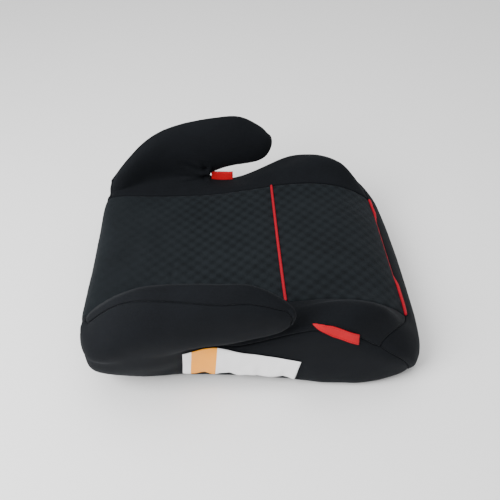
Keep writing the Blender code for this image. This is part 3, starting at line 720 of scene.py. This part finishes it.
seat_panels = {"seat_panel_rear": ("cover_seat_rear", SEAT_REAR, (0.250, 0.280)),
               "seat_panel_front": ("cover_seat_front", SEAT_FRONT, (0.244, 0.170))}
for name, (node, panel, size) in seat_panels.items():
    cover = panel_copy(name, (panel,))
    fold_edges(cover, FOLD_DROP)
    cover["cloth_area"] = cloth_area(cover)
    pick(cover)
    bpy.ops.object.mode_set(mode="EDIT")
    bpy.ops.mesh.select_all(action="SELECT")
    bpy.ops.mesh.subdivide(number_cuts=1, smoothness=0.0)
    bpy.ops.object.mode_set(mode="OBJECT")
    press_checks(cover)
    thicken(cover)
    cover.data.materials.append(seat_cloth)
    hold_cover(cover, node)


# ------------------------------------------------- front, back and side covers
# Plain dark cloth: a roll over the front edge, a panel across the back, a
# bolster cover on each side that runs up the inside of the armrest and over
# its top, and a side panel from the armrest down to the hem.
trim_panels = {
    "front_panel": ("cover_front", FRONT, (0.42, 0.10), "seat_pad"),
    "back_panel": ("cover_back", BACK, (0.25, 0.075), "seat_pad"),
    "bolster_panel_left": ("cover_bolster_left", BOLSTER_LEFT, (0.45, 0.14), "bolster_pad_left"),
    "bolster_panel_right": ("cover_bolster_right", BOLSTER_RIGHT, (0.45, 0.14), "bolster_pad_right"),
    "side_panel_left": ("cover_side_left", SIDE_LEFT, (0.43, 0.20), "bolster_pad_left"),
    "side_panel_right": ("cover_side_right", SIDE_RIGHT, (0.43, 0.20), "bolster_pad_right")}
for name, (node, panel, size, pad) in trim_panels.items():
    cover = panel_copy(name, (panel,))
    fold_edges(cover, FOLD_DROP)
    cover["cloth_area"] = cloth_area(cover)
    thicken(cover)
    cover.data.materials.append(trim_cloth)
    hold_cover(cover, node)


# --------------------------------------------------------------------- piping
# A red cloth-covered cord sewn into the seam across the seat, and another
# along the front edge, where the roll of the seat half buries its middle.
PIPING_RADIUS = 0.0019
BURIED_CENTRE = 0.0080
BURIED_HALF = 0.0780
BURIED_EASE = 0.0220
SEAM_HALF = 0.1225
END_TAPER = 0.0040
RED_CORD_DARK = (0.26, 0.002, 0.010, 1.0)
RED_CORD_LIGHT = (0.38, 0.005, 0.018, 1.0)


def red_cloth(name, dark, light, pitch):
    material, shader = new_material(name, 0.60)
    shader.inputs["Specular IOR Level"].default_value = 0.15
    thread = combine(material, "MULTIPLY_ADD", weave_height(material, pitch), 0.5, 0.5)
    tint(material, thread, dark, light, 0.30, 0.75)
    emboss(material, thread, 0.5, 0.0002)
    return material


def blank_seam(first, second):
    mesh = blank.data
    owners = {}
    for face in mesh.polygons:
        for index in face.vertices:
            owners.setdefault(index, set()).add(face.material_index)
    shared = [index for index, panels in owners.items() if first in panels and second in panels]
    shared.sort(key=lambda index: mesh.vertices[index].co.x)
    return [(mesh.vertices[i].co.copy(), mesh.vertices[i].normal.copy()) for i in shared]


def tube_along(name, points, radii, closed, sides):
    curve = bpy.data.curves.new(name, "CURVE")
    curve.dimensions = "3D"
    curve.bevel_depth = 1.0
    curve.bevel_resolution = sides
    curve.use_fill_caps = not closed
    line = curve.splines.new("POLY")
    line.points.add(len(points) - 1)
    for spot, point, radius in zip(line.points, points, radii):
        spot.co = (point[0], point[1], point[2], 1.0)
        spot.radius = radius
    line.use_cyclic_u = closed
    tube = link(name, curve)
    pick(tube)
    bpy.ops.object.convert(target="MESH")
    tube = bpy.context.view_layer.objects.active
    work = bmesh.new()
    work.from_mesh(tube.data)
    bmesh.ops.remove_doubles(work, verts=work.verts, dist=0.00001)
    bmesh.ops.recalc_face_normals(work, faces=work.faces)
    for face in work.faces:
        face.smooth = True
    work.to_mesh(tube.data)
    work.free()
    return tube


red_cord = red_cloth("red_cord_cloth", RED_CORD_DARK, RED_CORD_LIGHT, 0.0008)
piping = {"piping_across_seat": ("piping_seat", SEAT_REAR, SEAT_FRONT, 0.0010, 0.0),
          "piping_along_front": ("piping_front", SEAT_FRONT, FRONT, 0.0011, 0.0036)}
for name, (node, first, second, lift, bury) in piping.items():
    line = blank_seam(first, second)
    points, radii = [], []
    for spot, normal in line:
        inside = (BURIED_HALF - abs(spot.x - BURIED_CENTRE)) / BURIED_EASE
        middle = min(max(inside, 0.0), 1.0)
        points.append(spot + normal * (lift - bury * middle))
        end = min(1.0, (SEAM_HALF - abs(spot.x)) / END_TAPER)
        radii.append(PIPING_RADIUS * (0.55 + 0.45 * max(end, 0.0)))
    cord = tube_along(name, points, radii, False, 5)
    cord.data.materials.append(red_cord)
    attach(cord, "root")
    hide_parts(node)


# ---------------------------------------------------------------- belt guides
# A short loop of red woven tape at the root of each belt slot, folded over and
# sewn down, which shows where the lap belt goes.
GUIDE_LENGTH = 0.0330
GUIDE_HEIGHT = 0.0125
GUIDE_ROOM = 0.0012
GUIDE_TAPE = 0.0008
GUIDE_X = 0.1588
GUIDE_START_Y = 0.0172
GUIDE_PROBE_Z = 0.1060
GUIDE_STEEPEST = 0.0004
GUIDE_FOLD = 0.40
TAPE_WEAVE = 0.0009
RED_TAPE_DARK = (0.34, 0.003, 0.006, 1.0)
RED_TAPE_LIGHT = (0.50, 0.006, 0.012, 1.0)


def cover_tree():
    work = bmesh.new()
    work.from_mesh(blank.data)
    tree = BVHTree.FromBMesh(work)
    work.free()
    return tree


def strip_piece(name, rows):
    work = bmesh.new()
    grid = [[work.verts.new(spot) for spot in row] for row in rows]
    for first, second in zip(grid, grid[1:]):
        for index in range(len(first) - 1):
            work.faces.new((first[index], first[index + 1], second[index + 1], second[index]))
    for face in work.faces:
        face.smooth = True
    mesh = bpy.data.meshes.new(name)
    work.to_mesh(mesh)
    work.free()
    return link(name, mesh)


def give_thickness(piece, thickness):
    wall = piece.modifiers.new("thickness", "SOLIDIFY")
    wall.thickness = thickness
    wall.offset = 0.0
    finish_modifiers(piece)


surface = cover_tree()
red_tape = red_cloth("red_woven_tape", RED_TAPE_DARK, RED_TAPE_LIGHT, TAPE_WEAVE)
for hand, side in (("left", 1.0), ("right", -1.0)):
    rows = []
    foot = 1.0
    for along in np.linspace(0.0, 1.0, 15):
        y = GUIDE_START_Y + GUIDE_LENGTH * along
        probe = Vector((side * GUIDE_X, y, GUIDE_PROBE_Z))
        below = surface.ray_cast(probe, Vector((0.0, 0.0, -1.0)))[0].z
        foot = min(below, foot + GUIDE_STEEPEST)
        lean = 0.0015 * math.sin(math.pi * along)
        row = []
        for turn in np.linspace(0.0, 1.0, 19):
            if turn < GUIDE_FOLD:
                across, rise = -1.0, turn / GUIDE_FOLD
            elif turn > 1.0 - GUIDE_FOLD:
                across, rise = 1.0, (1.0 - turn) / GUIDE_FOLD
            else:
                bend = (turn - GUIDE_FOLD) / (1.0 - 2.0 * GUIDE_FOLD) * math.pi
                across, rise = -math.cos(bend), 1.0 + 0.10 * math.sin(bend)
            height = foot - 0.0006 + GUIDE_HEIGHT * rise
            row.append((side * (GUIDE_X + GUIDE_ROOM * across + lean * rise), y, height))
        rows.append(row)
    guide = strip_piece("belt_guide_tape_" + hand, rows)
    give_thickness(guide, GUIDE_TAPE)
    guide.data.materials.append(red_tape)
    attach(guide, "root")
    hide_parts("belt_guide_" + hand)


# ------------------------------------------------------------------- side tag
# A red tag sewn over the seam of the right side, pointed at its rear end and
# cut square at its front end, with a row of stitches inside its edge.
TAG_PLANE_X = -0.178
TAG_REAR = (-0.0653, 0.1215)
TAG_FRONT = (-0.1186, 0.0961)
TAG_HALF_HEIGHT = 0.0080
TAG_SLOPE = 0.75
TAG_LIFT = 0.0012
TAG_THICKNESS = 0.0013
TAG_POINT_SHARE = 0.42
TAG_DARK = (0.34, 0.002, 0.008, 1.0)
TAG_LIGHT = (0.50, 0.005, 0.014, 1.0)
STITCH_RED = (0.24, 0.002, 0.004, 1.0)
STITCH_PITCH = 0.0026
STITCH_LINE = (0.78, 0.05)
PROBE_START = 0.10


def on_side(y, z, lift, slope):
    inward = Vector((1.0, 0.0, -slope)).normalized()
    start = Vector((TAG_PLANE_X, y, z)) - inward * PROBE_START
    hit = surface.ray_cast(start, inward)
    return hit[0] + hit[1] * lift


def mix_colours(material, share, first, second):
    nodes, links = material.node_tree.nodes, material.node_tree.links
    mix = nodes.new("ShaderNodeMix")
    mix.data_type = "RGBA"
    links.new(share, mix.inputs[0])
    if isinstance(first, tuple):
        mix.inputs[6].default_value = first
    else:
        links.new(first, mix.inputs[6])
    mix.inputs[7].default_value = second
    links.new(mix.outputs[2], nodes["Principled BSDF"].inputs["Base Color"])


def tag_material():
    material = red_cloth("red_tag_cloth", TAG_DARK, TAG_LIGHT, TAPE_WEAVE)
    turns = combine(material, "MULTIPLY", attribute(material, "along"), 2.0 * math.pi / STITCH_PITCH)
    dash = combine(material, "GREATER_THAN", combine(material, "SINE", turns), -0.2)
    line = combine(material, "COMPARE", attribute(material, "edge"), *STITCH_LINE)
    stitch = combine(material, "MULTIPLY", line, dash)
    shader = material.node_tree.nodes["Principled BSDF"]
    cloth_colour = shader.inputs["Base Color"].links[0].from_socket
    mix_colours(material, stitch, cloth_colour, STITCH_RED)
    return material


rows, edges, lengths = [], [], []
tag_length = math.hypot(TAG_FRONT[0] - TAG_REAR[0], TAG_FRONT[1] - TAG_REAR[1])
for along in np.linspace(0.0, 1.0, 37):
    y = TAG_REAR[0] + (TAG_FRONT[0] - TAG_REAR[0]) * along
    z = TAG_REAR[1] + (TAG_FRONT[1] - TAG_REAR[1]) * along
    half = TAG_HALF_HEIGHT * (min(along / TAG_POINT_SHARE, 1.0) ** 0.75 + 0.05) / 1.05
    row = []
    for across in np.linspace(-1.0, 1.0, 13):
        curl = 0.0010 * abs(across) ** 3 * math.sin(math.pi * along) + 0.0008 * math.sin(9.0 * along)
        row.append(on_side(y, z + half * across, TAG_LIFT + curl, TAG_SLOPE))
        edges.append(abs(across))
        lengths.append(along * tag_length)
    rows.append(row)
tag = strip_piece("red_side_tag", rows)
note_on_points(tag.data, "edge", edges)
note_on_points(tag.data, "along", lengths)
give_thickness(tag, TAG_THICKNESS)
tag.data.materials.append(tag_material())
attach(tag, "root")
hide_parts("side_tag")


# ---------------------------------------------------------------- white label
# A plain white satin label sewn to the right side low down, with an orange
# block at its rear end. Its lower edge hangs free and ripples.
LABEL_TOP_REAR = (0.0845, 0.0860)
LABEL_TOP_FRONT = (-0.0549, 0.0572)
LABEL_LOW_REAR = (0.0884, 0.0262)
LABEL_LOW_FRONT = (-0.0488, 0.0196)
LABEL_LIFT = 0.0014
LABEL_THICKNESS = 0.0005
LABEL_BLOCK = (0.07, 0.29)
LABEL_WHITE = (0.90, 0.90, 0.91, 1.0)
LABEL_ORANGE = (1.0, 0.37, 0.02, 1.0)


def label_material():
    material, shader = new_material("white_satin_label", 0.42)
    shader.inputs["Specular IOR Level"].default_value = 0.2
    start, end = LABEL_BLOCK
    along = attribute(material, "along")
    block = combine(material, "COMPARE", along, (start + end) / 2.0, (end - start) / 2.0)
    mix_colours(material, block, LABEL_WHITE, LABEL_ORANGE)
    emboss(material, weave_height(material, 0.0007), 0.3, 0.0001)
    return material


rows, shares = [], []
for along in np.linspace(0.0, 1.0, 81):
    top = np.array(LABEL_TOP_REAR) * (1.0 - along) + np.array(LABEL_TOP_FRONT) * along
    low = np.array(LABEL_LOW_REAR) * (1.0 - along) + np.array(LABEL_LOW_FRONT) * along
    row = []
    for down in np.linspace(0.0, 1.0, 25):
        spot = top * (1.0 - down) + low * down
        wave = noise.noise(Vector((along * 9.0, down * 1.6, 5.0)))
        scallop = abs(math.sin(math.pi * (along * 4.3 + 0.15)))
        flap = (0.0026 * max(wave, -0.3) + 0.0010 * scallop) * down ** 1.5
        height = spot[1] + 0.0018 * (1.0 - scallop) * down ** 2
        row.append(on_side(spot[0], height, LABEL_LIFT + flap + 0.0003 * wave, 0.0))
        shares.append(along)
    rows.append(row)
label = strip_piece("white_side_label", rows)
note_on_points(label.data, "along", shares)
give_thickness(label, LABEL_THICKNESS)
label.data.materials.append(label_material())
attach(label, "root")
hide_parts("instruction_label")


# ----------------------------------------------------------------------- hem
# The lower edge of the cover is bound with black tape and drawn in under the
# base by an elastic cord, which gathers it.
HEM_TAPE_RADIUS = 0.0016
HEM_CORD_RADIUS = 0.0012
HEM_POINTS = 96
HEM_WAVE = 0.0004
HEM_DARK = (0.004, 0.004, 0.005, 1.0)
HEM_LIGHT = (0.014, 0.014, 0.016, 1.0)


def black_tape():
    material, _ = new_material("black_hem_tape", 0.8)
    weave = weave_height(material, TAPE_WEAVE)
    tint(material, weave, HEM_DARK, HEM_LIGHT)
    emboss(material, weave, 0.5, 0.0002)
    return material


hem_black = black_tape()
for name, node, radius in (("hem_tape", "hem_binding", HEM_TAPE_RADIUS),
                           ("hem_cord", "hem_elastic", HEM_CORD_RADIUS)):
    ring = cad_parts[node]
    centre = read_points(ring.data)
    angle = np.arctan2(centre[:, 1], centre[:, 0])
    order = np.argsort(angle)
    groups = np.array_split(order, HEM_POINTS)
    points = [Vector(centre[group].mean(axis=0)) for group in groups]
    for index, point in enumerate(points):
        point.z += HEM_WAVE * noise.noise(Vector((index * 0.9, 2.0, 0.0)))
    tube = tube_along(name, points, [radius] * HEM_POINTS, True, 2)
    tube.data.materials.append(hem_black)
    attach(tube, "root")
    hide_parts(node)


# -------------------------------------------------- base, armrest cores, screws
# Black injection-moulded plastic with a light grain, ribbed underneath, and
# the zinc-plated screws that hold the armrest cores from below.
PLASTIC_BLACK = (0.018, 0.018, 0.020, 1.0)
GRAIN_CELLS = 1400.0
ZINC = (0.58, 0.58, 0.56, 1.0)


def moulded_plastic():
    material, shader = new_material("moulded_black_plastic", 0.5)
    shader.inputs["Base Color"].default_value = PLASTIC_BLACK
    emboss(material, cell_texture(material, GRAIN_CELLS), 0.25, 0.0001)
    cloud = noise_texture(material, 30.0, 2.0)
    polish = stretch(material, cloud, 0.0, 1.0, 0.42, 0.60)
    material.node_tree.links.new(polish, shader.inputs["Roughness"])
    return material


def plated_steel():
    material, shader = new_material("zinc_plated_steel", 0.35)
    shader.inputs["Metallic"].default_value = 1.0
    shader.inputs["Base Color"].default_value = ZINC
    cloud = noise_texture(material, 600.0, 2.0)
    polish = stretch(material, cloud, 0.0, 1.0, 0.25, 0.45)
    material.node_tree.links.new(polish, shader.inputs["Roughness"])
    return material


black_plastic = moulded_plastic()
zinc_steel = plated_steel()
for name in ("base_shell", "armrest_core_left", "armrest_core_right"):
    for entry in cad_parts[name].material_slots:
        entry.material = black_plastic
for name in ("armrest_screw_left_front", "armrest_screw_left_rear",
             "armrest_screw_right_front", "armrest_screw_right_rear"):
    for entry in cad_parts[name].material_slots:
        entry.material = zinc_steel

bpy.data.objects.remove(blank, do_unlink=True)


# --------------------------------------------------------------- floor and light
# A plain pale floor that the seat stands on, with soft light from all round,
# a wide light overhead and a nearer one behind its right side.
bpy.ops.object.select_all(action="DESELECT")
bpy.ops.mesh.primitive_plane_add(size=8.0, location=(0.0, 0.0, 0.0))
floor = bpy.context.view_layer.objects.active
floor.name = "floor"
paper, paper_shader = new_material("pale_floor", 0.9)
paper_shader.inputs["Base Color"].default_value = (0.92, 0.92, 0.92, 1.0)
floor.data.materials.append(paper)

world = bpy.data.worlds.new("studio")
bpy.context.scene.world = world
world.use_nodes = True
world.node_tree.nodes["Background"].inputs["Color"].default_value = (1.0, 1.0, 1.0, 1.0)
world.node_tree.nodes["Background"].inputs["Strength"].default_value = 0.85


def soft_light(name, place, target, size, power):
    data = bpy.data.lights.new(name, "AREA")
    data.shape = "DISK"
    data.size = size
    data.energy = power
    light = bpy.data.objects.new(name, data)
    bpy.context.scene.collection.objects.link(light)
    light.location = place
    aim = Vector(target) - Vector(place)
    light.rotation_euler = aim.to_track_quat("-Z", "Y").to_euler()


soft_light("overhead", (0.0, 0.1, 1.7), (0.0, 0.0, 0.1), 1.6, 14.0)
soft_light("near_rear", (-0.70, 0.85, 1.05), (0.0, 0.0, 0.1), 0.9, 32.0)


# --------------------------------------------------------------------- camera
# It stands beside the seat, level with the middle of its right side and well
# above it, and looks down across it at about forty degrees.
EYE = Vector((-0.6427, 0.0280, 0.6445))
LOOK_DOWN = 0.7196
LOOK_TURN = -0.0467
LENS = 44.69
SENSOR = 36.0
level = math.cos(LOOK_DOWN)
ahead = Vector((level * math.cos(LOOK_TURN), level * math.sin(LOOK_TURN), -math.sin(LOOK_DOWN)))
side = ahead.cross(Vector((0.0, 0.0, 1.0))).normalized()
up = side.cross(ahead)
lens = bpy.data.cameras.new("camera")
lens.lens = LENS
lens.sensor_width = SENSOR
camera = bpy.data.objects.new("camera", lens)
bpy.context.scene.collection.objects.link(camera)
camera.matrix_world = Matrix(((side.x, up.x, -ahead.x, EYE.x),
                              (side.y, up.y, -ahead.y, EYE.y),
                              (side.z, up.z, -ahead.z, EYE.z),
                              (0.0, 0.0, 0.0, 1.0)))
bpy.context.scene.camera = camera
